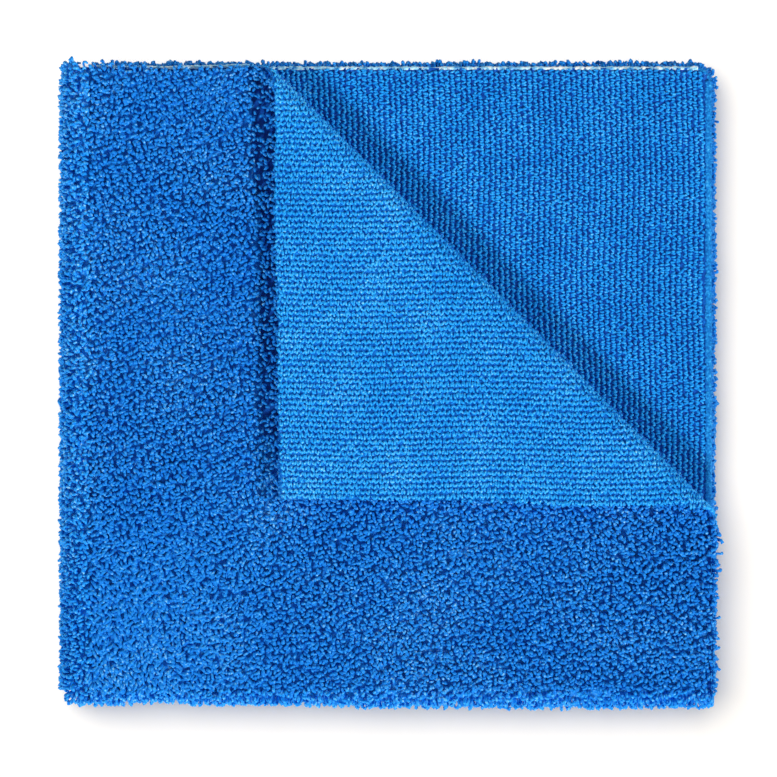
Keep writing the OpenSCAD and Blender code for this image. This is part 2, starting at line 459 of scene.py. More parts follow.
def cloth_material(name, dark, mid, light, fine, broad, rough=0.6, sheen=0.3, bump=None,
                   painted_glint=(0.22, 0.62, 1.0)):
    """Yarn colour that changes from stitch to stitch and slowly over the cloth, with painted glints: the
    noise's highest spots take a light colour that stands in for highlights.
    """
    mat = bpy.data.materials.new(name)
    mat.use_nodes = True
    nt = mat.node_tree
    bsdf = nt.nodes["Principled BSDF"]
    coord = nt.nodes.new("ShaderNodeTexCoord")
    small, large = noise_node(nt, coord, fine, 3.0, 0.6), noise_node(nt, coord, broad, 1.0)
    add = nt.nodes.new("ShaderNodeMath")
    add.operation = "MULTIPLY_ADD"
    add.inputs[1].default_value = 0.16
    nt.links.new(large.outputs["Fac"], add.inputs[0])
    nt.links.new(small.outputs["Fac"], add.inputs[2])
    colours = nt.nodes.new("ShaderNodeValToRGB")
    e = colours.color_ramp.elements
    e[0].position, e[0].color = 0.40, (*dark, 1)
    e[1].position, e[1].color = 0.70, (*light, 1)
    e.new(0.57).color = (*mid, 1)
    # Painted glints: where the noise is highest the colour turns to the lightest one, a painted highlight.
    e.new(0.80).color = (*painted_glint, 1)
    nt.links.new(add.outputs[0], colours.inputs["Fac"])
    nt.links.new(colours.outputs["Color"], bsdf.inputs["Base Color"])
    bsdf.inputs["Roughness"].default_value = rough
    bsdf.inputs["Specular IOR Level"].default_value = 0.18
    bsdf.inputs["Sheen Weight"].default_value = sheen
    bsdf.inputs["Sheen Roughness"].default_value = 0.45
    bsdf.inputs["Sheen Tint"].default_value = (0.05, 0.5, 1.0, 1)
    if bump:
        b = nt.nodes.new("ShaderNodeBump")
        b.inputs["Distance"].default_value = bump[1]
        b.inputs["Strength"].default_value = 0.7
        f = noise_node(nt, coord, bump[0], 3.0, 0.7)
        nt.links.new(f.outputs["Fac"], b.inputs["Height"])
        nt.links.new(b.outputs["Normal"], bsdf.inputs["Normal"])
    return mat


FIBRE_BUMP = (2600, 0.0002)
PLUSH = cloth_material(
    "plush_yarn", (0.0, 0.15, 0.64), (0.001, 0.225, 0.76), (0.03, 0.34, 0.83), 1300, 40,
    painted_glint=(0.32, 0.66, 0.95))
# Painted light: a lighter copy of the plush yarn for the pile round the front and side folds, whose rounded
# pile catches more light.
PAINTED_LIGHT_PLUSH = cloth_material(
    "plush_yarn_fold_painted_light", (0.0, 0.20, 0.74), (0.003, 0.30, 0.88), (0.06, 0.44, 0.95), 1300, 40,
    painted_glint=(0.40, 0.76, 1.0))
RIB = cloth_material(
    "ribbed_yarn", (0.0, 0.195, 0.63), (0.002, 0.30, 0.86), (0.03, 0.47, 0.97), 1700, 60, bump=FIBRE_BUMP)
# Painted light: a lighter, more cyan copy of the ribbed yarn for the turned corner, its crease and its sealed
# edge.
PAINTED_LIGHT_RIB = cloth_material(
    "ribbed_yarn_painted_light", (0.0, 0.235, 0.70), (0.004, 0.36, 0.93), (0.07, 0.55, 1.0), 1700, 60,
    bump=FIBRE_BUMP, painted_glint=(0.36, 0.78, 1.0))
# Painted light: the ground knit made lighter under the turned corner's ribs and in the crease, so that the
# gaps between stitches look less shaded.
PAINTED_LIGHT_KNIT = cloth_material(
    "ground_knit_painted_light", (0.0, 0.12, 0.50), (0.001, 0.18, 0.64), (0.008, 0.26, 0.78), 800, 60, sheen=0.0,
    painted_glint=(0.01, 0.34, 0.88))
GROUND = cloth_material(
    "ground_knit", (0.0, 0.05, 0.32), (0.0, 0.08, 0.42), (0.001, 0.12, 0.54), 800, 60, sheen=0.0,
    painted_glint=(0.002, 0.2, 0.7))
CRUSHED = cloth_material(
    "crushed_yarn", (0.0, 0.09, 0.45), (0.001, 0.14, 0.58), (0.01, 0.22, 0.74), 1300, 40,
    painted_glint=(0.05, 0.4, 0.95))
EDGE = cloth_material(
    "sealed_edge", (0.01, 0.26, 0.72), (0.35, 0.76, 1.0), (0.92, 1.0, 1.0), 420, 90, rough=0.35, sheen=0.1,
    painted_glint=(1.0, 1.0, 1.0))
BAND = cloth_material(
    "sealed_band", (0.0, 0.12, 0.45), (0.001, 0.21, 0.66), (0.02, 0.36, 0.86), 1300, 90, rough=0.7,
    sheen=0.1, bump=(1800, 0.0004), painted_glint=(0.10, 0.55, 1.0))

# ---------------------------------------------------------------- cloth sheets

LEG, BEND = 60, 9  # grid points along a layer and round the front fold
KINK = CREASE_SUM - Y_CUT - 0.3  # where the top layer's back edge meets the crease


def pair_cloth(name, body, nodes, mid, inner_z, outer_z, outer_up, outer_depth, columns):
    """Two layers and the front turn between them as one cloth."""
    points, normals = [], []
    for x in columns:
        psi = np.linspace(math.pi, 0, BEND) if outer_up > 0 else np.linspace(0, math.pi, BEND)
        legs = [
            flat(np.full(LEG - 1, x), np.linspace(cut_depth(x), Y_FOLD, LEG)[:-1], inner_z, -outer_up),
            front(np.full(BEND, x), psi, mid),
            flat(np.full(LEG - 1, x), np.linspace(Y_FOLD, float(outer_depth(x)), LEG)[1:], outer_z, outer_up),
        ]
        points.append(np.concatenate([leg[0] for leg in legs]))
        normals.append(np.concatenate([leg[1] for leg in legs]))
    sheet = closed_sheet(np.array(points), np.array(normals), HALF)
    return make(name, sheet, GROUND, body, nodes)


def side_turn_cloth():
    """The whole hairpin of the front fold, swept through the side fold's half turn."""
    points, normals = [], []
    psi = np.linspace(0, math.pi, BEND)
    for phi in half_turns(12):
        y_out = np.linspace(Y_CUT, Y_FOLD, LEG)[:-1]
        y_in = np.linspace(Y_FOLD, Y_CUT, LEG)[1:]
        s, c = np.sin(psi), np.cos(psi)
        legs = [
            side(np.full(LEG - 1, phi), y_out, HAIRPIN),
            side(np.full(BEND, phi), Y_FOLD - HAIRPIN * s, HAIRPIN * c, -s, c),
            side(np.full(LEG - 1, phi), y_in, -HAIRPIN, 0.0, -1.0),
        ]
        points.append(np.concatenate([leg[0] for leg in legs]))
        normals.append(np.concatenate([leg[1] for leg in legs]))
    sheet = closed_sheet(np.array(points), np.array(normals), HALF)
    nodes = ["lower_side_fold_knit", "upper_side_fold_knit"]
    return make("side_turn_cloth", sheet, GROUND, None, nodes)


def turned_corner_cloth():
    """The turned corner: rows from its front cut edge to the crease, with a rounded tip."""
    rows = spaced(OPEN_SUM - float(top_x(60.0)), CREASE_SUM - (OPEN_SUM - float(top_y(60.0))), 2.0)
    p = []
    for y in rows:
        short = max(0.0, CORNER - (y - rows[0]))
        left = OPEN_SUM - float(top_y(OPEN_SUM - y))
        left += CORNER - math.sqrt(max(CORNER * CORNER - short * short, 0.0))
        xs = np.linspace(left, max(CREASE_SUM - y, left + 0.5), LEG)
        # the front edge follows the side cut edge of the flat layer
        low = OPEN_SUM - top_x(OPEN_SUM - xs) - rows[0]
        fade = np.clip(1 - (y - rows[0]) / 20.0, 0, 1)
        p.append(line(xs, y + low * fade, Z_FLAP))
    p = np.array(p)
    # each row is stretched to meet the crease, and cut off there
    first, last = p[:, :1, 0].copy(), p[:, -1:, 0].copy()
    meet = np.maximum(CREASE_SUM - p[:, -1:, 1], last)
    p[..., 0] = first + (p[..., 0] - first) * (meet - first) / (last - first)
    p[..., 0] -= np.maximum((p[..., 0] + p[..., 1]) - CREASE_SUM, 0)
    sheet = closed_sheet(p, np.broadcast_to([0.0, 0.0, -1.0], p.shape), HALF)
    return make("flap_cloth", sheet, PAINTED_LIGHT_KNIT, "turned_corner", ["flap_ground_knit"])


def crease_turn_cloth():
    """The cloth's half turn from the top layer to the turned corner."""
    points, normals = [], []
    for alpha in half_turns(10):
        s = np.linspace(*crease_ends(alpha), 110)
        p, n, _, _ = crease(s, np.full(110, alpha))
        points.append(p)
        normals.append(-n)
    sheet = closed_sheet(np.array(points), np.array(normals), HALF)
    nodes = ["crease_foot_knit", "crease_head_knit"]
    return make("crease_cloth", sheet, PAINTED_LIGHT_KNIT, None, nodes)


corner_columns = X_CUT - CORNER * (1 - np.sin(np.linspace(0, math.pi / 2 * 0.96, 8)))
lower_columns = np.concatenate([spaced(X_FOLD, X_CUT - CORNER, 3.0)[:-1], corner_columns])
upper_columns = np.concatenate([
    spaced(X_FOLD, KINK, 3.0)[:-1], spaced(KINK, X_CUT - CORNER, 3.0)[:-1], corner_columns,
])
lower_cloth = pair_cloth(
    "lower_cloth", "lower_half", ["base_ground_knit", "third_ground_knit", "lower_front_fold_knit"],
    LOWER_MID, Z_THIRD, Z_BASE, -1.0, cut_depth, lower_columns)
upper_cloth = pair_cloth(
    "upper_cloth", "upper_half", ["second_ground_knit", "top_ground_knit", "upper_front_fold_knit"],
    UPPER_MID, Z_SECOND, Z_TOP, 1.0, crease_depth, upper_columns)
side_cloth = side_turn_cloth()
flap_cloth = turned_corner_cloth()
crease_cloth = crease_turn_cloth()

# ---------------------------------------------------------------- long pile


def pressed(x, y):
    """The valley in the pile beside the turned corner's free edge, wider towards the back."""
    across = smooth(x, FLAP_X - 7 - 7 * smooth(y, 50, 75), FLAP_X - 3)
    return across * smooth(y, FLAP_Y - 4, FLAP_Y + 34)


def combed(x, y):
    """How far the pile lies combed down, towards the front left corner."""
    return smooth(x, -20, -80) * smooth(y, -20, -75)


def top_pile(rng):
    """The top layer's pile, shaggy, combed down at one corner and pressed beside the turned corner."""
    x, y = lattice(rng, X_FOLD, X_CUT + 1.6, Y_FOLD, Y_CUT + 0.4, 1.28, 1.06)
    thinned = (0.34 + 0.14 * smooth(y, 50, 75)) * pressed(x, y)
    keep = (rng.uniform(0, 1, len(x)) > thinned) & (x + y < (CREASE_C + PILE_STOP * CREASE_R) * SQ2)
    keep &= (y < top_y(x) - 0.4) & (x < top_x(y) - 0.3) & (x > X_FOLD) & (y > Y_FOLD)
    x, y = x[keep], y[keep]
    base, order = curled(x, y)
    x, y = x[order], y[order]
    base = splay(base, near(top_x(y) - x, 3.5) * 0.9, (1, 0, 0))
    base = splay(base, near(top_y(x) - y, 3.5) * smooth(x, -68, -78), (0, 1, 0))
    comb = combed(x, y)
    lay = swirl(x, y, 3) * (1 - comb) + comb * (-1.6)
    grow = np.clip(1.0 + 0.06 * swirl(x, y, 5, 18.0), 0.8, 1.15) * (1 - 0.22 * pressed(x, y))
    grow = grow * np.where(x + y > CREASE_SUM, 0.75, 1.0)
    yarns = tufts(on_knit(base), np.random.default_rng(12), PLUSH_TALL, 0.95 + 0.9 * comb, 0.46 + 0.05 * comb,
                  lay, math.pi - 2.1 * comb, 0.9, grow=grow)
    under = under_flat(rng, spaced(X_FOLD, X_CUT - 1.0, 1.1), Y_FOLD,
                       lambda c: min(float(top_y(c)) - 1.0, CREASE_SUM - c), Z_TOP, 1,
                       lambda x, y: pressed(x, y) - 0.3 * combed(x, y))
    return make("top_plush", join([yarns, under]), PLUSH, "upper_half", ["top_long_pile"])


def front_pile(name, rng, seed, mid, body, node, low):
    """Pile round a front fold; low is its share of the full height where the fold begins and ends."""
    x, psi = lattice(rng, X_FOLD, X_CUT + 0.8, 0, math.pi, 1.5, 0.45)
    rng = np.random.default_rng(seed)
    yarns = tufts(on_knit(front(x, psi, mid)), rng, PLUSH_TALL, 1.1, PLUSH_R, grow=low + 0.45 * np.sin(psi))
    gx, gp = np.meshgrid(spaced(X_FOLD, X_CUT - 0.4, 1.1), np.linspace(0, math.pi, 6), indexing="ij")
    p, n, _, _ = front(gx, gp, mid)
    return make(name, join([yarns, understory(rng, p, n)]), PAINTED_LIGHT_PLUSH, body, [node])


def edge_points(rng, low, high, step=0.8):
    """One point at random in each step of a straight cut edge."""
    count = round((high - low) / step)
    return low + (np.arange(count) + rng.uniform(0, 1, count)) * step


def edge_teeth(rng, z, up):
    """Ends that stick out past a full layer's cut edges and round its corner."""
    ex = edge_points(rng, X_FOLD, X_CUT - 4)
    ey = edge_points(rng, Y_FOLD, Y_CUT - 4)
    level = z + 0.5 * up
    back = fringe(ex, np.full(len(ex), Y_CUT - 0.5), np.full(len(ex), level), (0, 1), 0.7 * up)
    right = fringe(np.full(len(ey), X_CUT - 0.5), ey, np.full(len(ey), level), (1, 0), 0.9 * up)
    turn = np.linspace(0.08, math.pi / 2 - 0.08, 12)
    corner = [
        fringe(np.array([X_CUT - CORNER + 4.4 * c]), np.array([Y_CUT - CORNER + 4.4 * s]), np.array([level]),
               (c, s), 0.6 * up)
        for c, s in zip(np.cos(turn), np.sin(turn))
    ]
    grow = rng.uniform(0.6, 1.2, len(ex) + len(ey) + len(turn))
    return tufts(merge(back, right, *corner), rng, 2.75, 0.9, 0.52, grow=grow)


def hidden_pile(seed, z, up, name, nodes, body, tall=PLUSH_TALL):
    """Pile that shows at rest only along the cut edges: fine tufts there, plain wide ones inside."""
    rng = np.random.default_rng(seed)
    x, y = lattice(rng, X_FOLD, X_CUT, Y_FOLD, Y_CUT, 1.95, 1.75)
    inner = (x < X_CUT - 3.6) & (y < Y_CUT - 3.6) & (x > X_FOLD) & (y > Y_FOLD)
    wide = tufts(on_knit(flat(x[inner], y[inner], z, up)), rng, tall, 1.2, 0.62, shape="plain")
    x, y = lattice(rng, X_FOLD, X_CUT, Y_FOLD, Y_CUT, 1.25, 1.15)
    rim = ((x > X_CUT - 4) | (y > Y_CUT - 4)) & (y < cut_depth(np.clip(x, None, X_CUT)) - 0.2)
    rim &= (x < X_CUT - 0.2) & (x > X_FOLD) & (y > Y_FOLD)
    x, y = x[rim], y[rim]
    base = splay(flat(x, y, z, up), near(X_CUT - x, 2.6), (1, 0, 0))
    base = splay(base, near(Y_CUT - y, 2.6), (0, 1, 0))
    fine = tufts(on_knit(base), rng, tall - 0.2, 0.8, 0.40)
    return make(name, join([wide, fine, edge_teeth(rng, z, up)]), PLUSH, body, nodes)


def side_pile(rng):
    """Outer pile of the side fold, and of the corner where both folds meet."""
    phi, y = lattice(rng, 0, math.pi, Y_FOLD, Y_CUT, 1.3 / (TURN + HAIRPIN), 1.02)
    phi = np.clip(phi, 0, math.pi)
    keep = y > Y_FOLD
    phi, y = phi[keep], y[keep]
    outer = side(phi, y, HAIRPIN)
    outer = splay(outer, near(Y_CUT - y, 3.5) * 0.9, (0, 1, 0))
    phi2, psi2 = (np.clip(v, 0, math.pi) for v in lattice(rng, 0, math.pi, 0, math.pi, 0.30, 0.55))
    s, c = np.sin(psi2), np.cos(psi2)
    corner = side(phi2, Y_FOLD - HAIRPIN * s, HAIRPIN * c, -s, c)
    grow = np.concatenate([
        0.86 + 0.04 * phi + 0.46 * np.sin(phi), 0.86 + 0.04 * phi2 + 0.46 * np.sin(phi2) * s,
    ])
    yarns = tufts(on_knit(merge(outer, corner)), np.random.default_rng(32), PLUSH_TALL, 1.1, PLUSH_R,
                  grow=grow, split=SIDE_MID)
    gp, gy = np.meshgrid(half_turns(9), spaced(Y_FOLD, Y_CUT - 0.5, 1.1), indexing="ij")
    p, n, _, _ = side(gp, gy, HAIRPIN)
    nodes = ["lower_side_fold_long_pile", "upper_side_fold_long_pile"]
    return make("side_turn_plush", join([yarns, understory(rng, p, n)]), PAINTED_LIGHT_PLUSH, None, nodes)


def off_middle(angle):
    """Leaves out the points where a fold's two bodies meet."""
    return np.abs(angle - math.pi / 2) > math.radians(9)


def short_of(angle, radius, tall):
    """Share of the full height that keeps a yarn inside a turn on its own side of the middle."""
    c = np.abs(np.cos(angle))
    return np.clip((radius * c - 0.25) / np.maximum(c, 0.02), 0.25, tall) / tall


def crushed(rng, seed, step, reach, along, place, mid):
    """Low lumps beside a fold's middle. They are hidden in it, and cover it once it is open."""
    parts = []
    for sign in (-1.0, 1.0):
        d, v = lattice(rng, *reach, *along, step, 1.25, 0.3)
        base = place(d, v, mid + sign * 0.78, -sign)
        grow = rng.uniform(0.2, 1.2, len(d))
        own = np.random.default_rng(seed)
        parts.append(tufts(base, own, 0.50, 0.8, 0.42, curl=0.9, shape="lump", grow=grow, split=mid))
        seed += 1
    return join(parts)


def side_inner_pile(rng):
    """Pile shut inside the side fold, and the lumps that show when it opens."""
    tall = LONG - 0.4
    phi, y = lattice(rng, 0, math.pi, Y_FOLD, Y_CUT - 0.3, 1.25 / (TURN - HAIRPIN), 1.06)
    phi = np.clip(phi, 0, math.pi)
    ok = off_middle(phi)
    phi, y = phi[ok], y[ok]
    yarns = tufts(on_knit(side(phi, y, -HAIRPIN, 0.0, -1.0)), np.random.default_rng(33), tall, 0.8, 0.46,
                  grow=short_of(phi, TURN - HAIRPIN, tall), split=SIDE_MID)
    outermost = X_FOLD - TURN - HAIRPIN - HALF - LONG
    lumps = crushed(rng, 34, 1.25, (0.4, TURN + HAIRPIN + 0.6), (Y_FOLD, Y_CUT - 0.3),
                    lambda d, v, z, up: flat(outermost + d, v, z, up), SIDE_MID)
    return (make("side_turn_inner_plush", yarns, PLUSH, None),
            make("side_turn_crushed_pile", lumps, CRUSHED, None))


def in_corner(x, y, radius):
    """Keeps flat points inside the rounded tip of the corner that is turned back."""
    cx, cy = X_CUT - CORNER, Y_CUT - CORNER - 1
    return (x - cx < 0) | (y - cy < 0) | (np.hypot(x - cx, y - cy) < radius)


def flap_pile(rng):
    """Long pile on the turned corner's underside, which shows when it is opened."""
    x, y = lattice(rng, FLAP_FROM, X_CUT, FLAP_FROM, Y_CUT, 1.4, 1.2)
    keep = (x + y > (CREASE_C + math.pi * CREASE_R) * SQ2) & (y < top_y(x) - 0.3) & (x < top_x(y) - 0.3)
    keep &= in_corner(x, y, 4.5)
    x, y = x[keep], y[keep]
    base = flat(OPEN_SUM - y, OPEN_SUM - x, Z_FLAP, -1.0)
    base = splay(base, near(top_x(y) - x, 3.0) * 0.5, (0, -1, 0))
    base = splay(base, near(top_y(x) - y, 3.0) * 0.5, (-1, 0, 0))
    yarns = tufts(on_knit(base), np.random.default_rng(42), PLUSH_TALL, 1.0, 0.46)
    under = under_flat(rng, spaced(FLAP_X + 1.2, CREASE_SUM - FLAP_Y - 2.0, 1.3), FLAP_Y + 1.2,
                       lambda c: CREASE_SUM - c, Z_FLAP, -1)
    return make("flap_plush", join([yarns, under]), PLUSH, "turned_corner", ["flap_long_pile"])


def crease_pile(rng):
    """Pile shut inside the crease, and the lumps and ends that show when it opens."""
    tall = LONG - 0.5
    s, alpha = lattice(rng, -101, 101, 0.0, math.pi, 1.1, 1.2 / CREASE_R)
    alpha = np.clip(alpha, 0, math.pi)
    first, last = CREASE_C + CREASE_R * alpha - SQ2 * Y_CUT, SQ2 * X_CUT - CREASE_C - CREASE_R * alpha
    ok = (s > first + 0.6) & (s < last - 0.6) & off_middle(alpha) & (alpha > PILE_STOP)
    s, alpha = s[ok], alpha[ok]
    yarns = tufts(on_knit(inward(crease(s, alpha))), np.random.default_rng(43), tall, 0.8, 0.46,
                  grow=short_of(alpha, CREASE_R, tall), split=CREASE_MID)
    middle = CREASE_R * math.pi / 2 + CREASE_C
    along = (middle - SQ2 * Y_CUT + 1, SQ2 * X_CUT - middle - 1)
    lumps = crushed(rng, 44, 0.8, (0.0, 1.5), along, on_crease_line, CREASE_MID)
    s = np.arange(*along, 0.42)
    s = s + rng.uniform(-0.3, 0.3, len(s))
    d = rng.uniform(0.4, 1.35, len(s))
    bridges = [
        tufts(on_crease_line(d[k::2], s[k::2], CREASE_MID - 0.6 * sign, sign), np.random.default_rng(47 + k),
              1.15, 0.5, 0.42, shape="plain")
        for k, sign in ((0, 1.0), (1, -1.0))
    ]
    nodes = ["crease_foot_long_pile", "crease_head_long_pile"]
    return (make("crease_plush", yarns, PLUSH, None, nodes),
            make("crease_crushed_pile", join([lumps, *bridges]), CRUSHED, None))


rng = np.random.default_rng(11)
top_plush = top_pile(rng)
upper_front_plush = front_pile(
    "upper_front_plush", rng, 13, UPPER_MID, "upper_half", "upper_front_fold_long_pile", 0.95)
second_plush = hidden_pile(21, Z_SECOND, -1.0, "second_plush", ["second_long_pile"], "upper_half")
third_plush = hidden_pile(23, Z_THIRD, 1.0, "third_plush", ["third_long_pile"], "lower_half")
base_plush = hidden_pile(25, Z_BASE, -1.0, "base_plush", ["base_long_pile"], "lower_half", LONG - 1.0)
lower_front_plush = front_pile(
    "lower_front_plush", np.random.default_rng(27), 28, LOWER_MID, "lower_half",
    "lower_front_fold_long_pile", 0.84)
rng = np.random.default_rng(31)
side_plush = side_pile(rng)
side_inner, side_crushed = side_inner_pile(rng)
rng = np.random.default_rng(41)
flap_plush = flap_pile(rng)
crease_plush, crease_crushed = crease_pile(rng)

# ---------------------------------------------------------------- short ribbed pile


def stitch_lattice(rng, x0, x1, y0, y1, pitch=COURSE, jitter=0.10):
    """Stitches in nearly straight ribs along y, each rib started at its own offset."""
    nx, ny = round((x1 - x0) / WALE), round((y1 - y0) / pitch)
    gx, gy = np.meshgrid(np.arange(nx), np.arange(ny), indexing="ij")
    shift = rng.uniform(0, 1, (nx, 1))
    xs = x0 + (gx + 0.5) * WALE + rng.normal(0, jitter, gx.shape) * WALE
    ys = y0 + (gy + shift) * pitch + rng.normal(0, jitter * 1.6, gy.shape) * pitch
    xs = xs + 0.35 * np.sin(ys * 0.09 + gx * 0.02)
    return xs.ravel(), ys.ravel()


def ribs(name, base, seed, body, nodes, across, material=RIB, radius=0.62, height=0.50, reach=0.40,
         shape="lump", zig=0.28, split=None):
    """Short loops lying across the ribs, turned by zig to one side and the other in turn.

    across is the angle across the ribs, between the two tangents."""
    rng = np.random.default_rng(seed)
    turn = np.where(np.arange(len(base[0])) % 2 == 0, zig, -zig)
    mesh = tufts(on_knit(base), rng, height, reach, radius, across + turn, 0.45, 0.7, shape, 1.0, 0.06, split)
    return make(name, mesh, material, body, nodes)


def second_layer_ribs():
    """The second layer's triangle that shows, and its borders under the top layer."""
    rng = np.random.default_rng(51)
    x, y = stitch_lattice(rng, X_FOLD, X_CUT, Y_FOLD, Y_CUT, LOOP)
    seen = x + y > CREASE_SUM - 6
    border = (x > X_CUT - 9) | (y > Y_CUT - 9)
    keep = (seen | border) & (x < X_CUT - 2.0) & (y < cut_depth(np.clip(x, None, X_CUT)) - 0.7) & (x > X_FOLD)
    nodes = ["second_short_pile", "upper_front_fold_short_pile"]
    return ribs("second_ribs", flat(x[keep], y[keep], Z_SECOND, 1.0), 52, "upper_half", nodes, 0.0,
                radius=0.43, reach=0.58, shape="stitch", zig=0.5)


def border_ribs(seed, z, up, name, nodes, body, sum_end=math.inf):
    """Borders of a layer whose short pile is shut inside, up to where x + y is sum_end."""
    rng = np.random.default_rng(seed)
    x, y = stitch_lattice(rng, X_FOLD, X_CUT, Y_FOLD, Y_CUT)
    keep = ((x > X_CUT - 7) | (y > Y_CUT - 7)) & (x < X_CUT - 0.6)
    keep &= (y < cut_depth(np.clip(x, None, X_CUT)) - 0.6) & (x + y < sum_end)
    return ribs(name, flat(x[keep], y[keep], z, up), seed + 1, body, nodes, 0.0)


def corner_ribs():
    """One run of ribs over the turned corner and its crease."""
    rng = np.random.default_rng(61)
    x, y = stitch_lattice(rng, FLAP_FROM, X_CUT + 1.8, FLAP_FROM, Y_CUT + 0.6, LOOP)
    inside = (y < top_y(x) + 0.1) & (x < top_x(y) + 0.1) & in_corner(x, y, 4.8)
    c, s = (x + y) / SQ2, (x - y) / SQ2
    on_flap = inside & (c >= CREASE_C + math.pi * CREASE_R)
    on_crease = inside & (c > CREASE_C) & ~on_flap
    loops = {"radius": 0.44, "height": 0.54, "reach": 0.70, "shape": "stitch", "zig": 0.5}
    base = flat(OPEN_SUM - y[on_flap], OPEN_SUM - x[on_flap], Z_FLAP, 1.0)
    flap = ribs("flap_ribs", base, 62, "turned_corner", ["flap_short_pile"], math.pi / 2, PAINTED_LIGHT_RIB, **loops)
    base = crease(s[on_crease], (c[on_crease] - CREASE_C) / CREASE_R)
    nodes = ["crease_foot_short_pile", "crease_head_short_pile"]
    turn = ribs("crease_ribs", base, 63, None, nodes, math.pi / 4, PAINTED_LIGHT_RIB, split=CREASE_MID, **loops)
    return flap, turn


def side_turn_ribs():
    """Short pile inside the side turn, which shows only at its back end."""
    rng = np.random.default_rng(65)
    phi, y = lattice(rng, 0.1, math.pi - 0.1, Y_CUT - 7, Y_CUT - 0.6, WALE / TURN, COURSE)
    nodes = ["lower_side_fold_short_pile", "upper_side_fold_short_pile"]
    return ribs("side_turn_ribs", inward(side(phi, y, HAIRPIN)), 66, None, nodes, math.pi / 2, split=SIDE_MID)


second_rib = second_layer_ribs()
top_rib = border_ribs(53, Z_TOP, -1.0, "top_ribs", ["top_short_pile"], "upper_half", CREASE_SUM - 1)
third_rib = border_ribs(
    55, Z_THIRD, -1.0, "third_ribs", ["third_short_pile", "lower_front_fold_short_pile"], "lower_half")
base_rib = border_ribs(57, Z_BASE, 1.0, "base_ribs", ["base_short_pile"], "lower_half")
flap_rib, crease_rib = corner_ribs()
side_rib = side_turn_ribs()

# ---------------------------------------------------------------- sealed edges

UP = np.array([0.0, 0.0, 1.0])
SIDE_FACE = np.array([1.0, 0.0, 0.0])
INSET = 0.2  # from the cut edge to the middle of a bead


def resample(path, step):
    path = np.asarray(path, float)
    d = np.concatenate([[0], np.cumsum(np.linalg.norm(np.diff(path, axis=0), axis=1))])
    k = np.linspace(0, d[-1], max(3, int(d[-1] / step)))
    return np.stack([np.interp(k, d, path[:, i]) for i in range(3)], -1)


def bead(rng, path, step, width, thick, normal=UP, sides=6):
    """A lumpy flattened tube along path; normal points off the cloth's face."""
    path = resample(path, step)
    m = len(path)
    t = np.gradient(path, axis=0)
    t /= np.linalg.norm(t, axis=1, keepdims=True)
    n = np.broadcast_to(normal, path.shape)
    n = n - (n * t).sum(1, keepdims=True) * t
    n /= np.linalg.norm(n, axis=1, keepdims=True)
    b = np.cross(t, n)
    turn = np.arange(sides) * 2 * math.pi / sides
    lump = 1 + 0.28 * rng.normal(0, 1, (m, 1)) * 0.6 + 0.12 * rng.normal(0, 1, (m, sides))
    lump = np.clip(lump, 0.55, 1.5)
    across = np.cos(turn)[None, :, None] * b[:, None] * width
    ring = path[:, None] + (across + np.sin(turn)[None, :, None] * n[:, None] * thick) * lump[..., None]
    verts = np.concatenate([ring.reshape(-1, 3), path[:1], path[-1:]])
    return verts, *tube_faces(m, sides, m * sides)


def back_and_side(z):
    """The two straight runs of a full layer's cut edge, with the corner on the side run."""
    xs, ys = spaced(X_FOLD, X_CUT - CORNER, 4.0), spaced(Y_CUT - CORNER, Y_FOLD, 4.0)
    turn, r = np.linspace(0, math.pi / 2, 8), CORNER - INSET
    bend = line(X_CUT - CORNER + r * np.sin(turn), Y_CUT - CORNER + r * np.cos(turn), z)
    path = np.concatenate([line(xs, Y_CUT - INSET, z), bend[1:], line(X_CUT - INSET, ys, z)[1:]])
    split = int(np.argmax(path[:, 0] > X_CUT - 4.9))
    return path[: split + 1], path[split:]


def front_edge(rng, mid):
    psi = np.linspace(0, math.pi, 9)
    return bead(rng, front(np.full(9, X_CUT - INSET), psi, mid)[0], 0.6, 0.34, 0.5, SIDE_FACE)


def flap_edge_path():
    """The same cut edges as on the flat layer, turned back."""
    yv = spaced(CREASE_SUM - X_CUT + 15.5, Y_CUT - 7.2, 3.0)
    xv = spaced(X_CUT - 6.2, CREASE_SUM - Y_CUT + 15.5, 3.0)
    x, y = np.concatenate([top_x(yv) - 0.45, xv]), np.concatenate([yv, top_y(xv) - 0.45])
    return line(OPEN_SUM - y, OPEN_SUM - x, Z_FLAP)


rng = np.random.default_rng(71)
(third_back, third_side), (base_back, base_side), (second_back, second_side) = (
    back_and_side(z) for z in (Z_THIRD, Z_BASE, Z_SECOND))
lower_edge = make("lower_back_edge_bead", join([
    bead(rng, third_back, 0.7, 0.55, 0.34),
    bead(rng, base_back, 0.7, 0.55, 0.34),
]), EDGE, "lower_half", ["lower_sealed_edge"])
lower_band = make("lower_side_edge_bead", join([
    bead(rng, third_side, 0.6, 0.6, 0.4),
    bead(rng, base_side, 0.6, 0.6, 0.4),
    front_edge(rng, LOWER_MID),
]), BAND, "lower_half", ["lower_sealed_edge"])
xs = spaced(X_FOLD, KINK, 3.0)
top_back = line(xs, top_y(xs) - INSET, Z_TOP)
ys = spaced(CREASE_SUM - X_CUT - 1.2, Y_FOLD, 3.0)
top_side = line(top_x(ys) - INSET, ys, Z_TOP)
band = line(X_CUT - 0.7, spaced(Y_CUT - 4, Y_FOLD, 2.0), Z_SECOND + HALF + 0.1)
upper_edge = make("upper_side_edge_bead", join([
    bead(rng, second_side, 0.6, 0.62, 0.4),
    bead(rng, top_side, 0.6, 0.5, 0.36),
    front_edge(rng, UPPER_MID),
    bead(rng, band, 0.4, 0.95, 0.34, sides=10),
]), BAND, "upper_half", ["upper_side_sealed_edge"])
back_edge = make("upper_back_edge_bead", join([
    bead(rng, top_back, 0.6, 0.66, 0.40),
    bead(rng, second_back, 0.6, 0.66, 0.40),
]), EDGE, "upper_half", ["upper_back_sealed_edge"])
